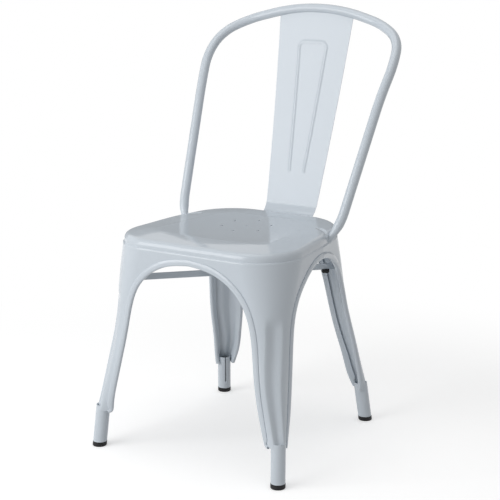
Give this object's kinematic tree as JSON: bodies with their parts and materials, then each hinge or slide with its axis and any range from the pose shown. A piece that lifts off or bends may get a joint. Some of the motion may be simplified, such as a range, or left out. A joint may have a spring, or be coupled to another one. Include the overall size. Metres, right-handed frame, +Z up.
{
  "type": "metal bistro chair",
  "caption": "Armless stacking chair in pressed sheet steel with splayed tapering legs, a dished seat pan and a bent tube back around a flat central splat.",
  "frame": {"origin": "on the floor, under the middle of the chair's overall box", "axes": "+Z up, +Y towards the back of the chair, so the seat faces -Y, and +X to the right as seen from the front"},
  "size_m": [0.4524, 0.5276, 0.85],
  "materials": {
    "paint": "glossy pale blue-grey powder coat",
    "rubber": "matt black"
  },
  "bodies": {
    "root": {"seat_pan": "paint", "leg_front_right": "paint", "leg_front_left": "paint", "leg_rear_right": "paint", "leg_rear_left": "paint", "back_hoop": "paint", "back_splat": "paint", "cross_bar_right": "paint", "cross_bar_left": "paint", "bumper_front_right": "rubber", "bumper_front_left": "rubber", "bumper_rear_right": "rubber", "bumper_rear_left": "rubber", "foot_glide_front_right": "rubber", "foot_glide_front_left": "rubber", "foot_glide_rear_right": "rubber", "foot_glide_rear_left": "rubber"}
  },
  "joints": []
}
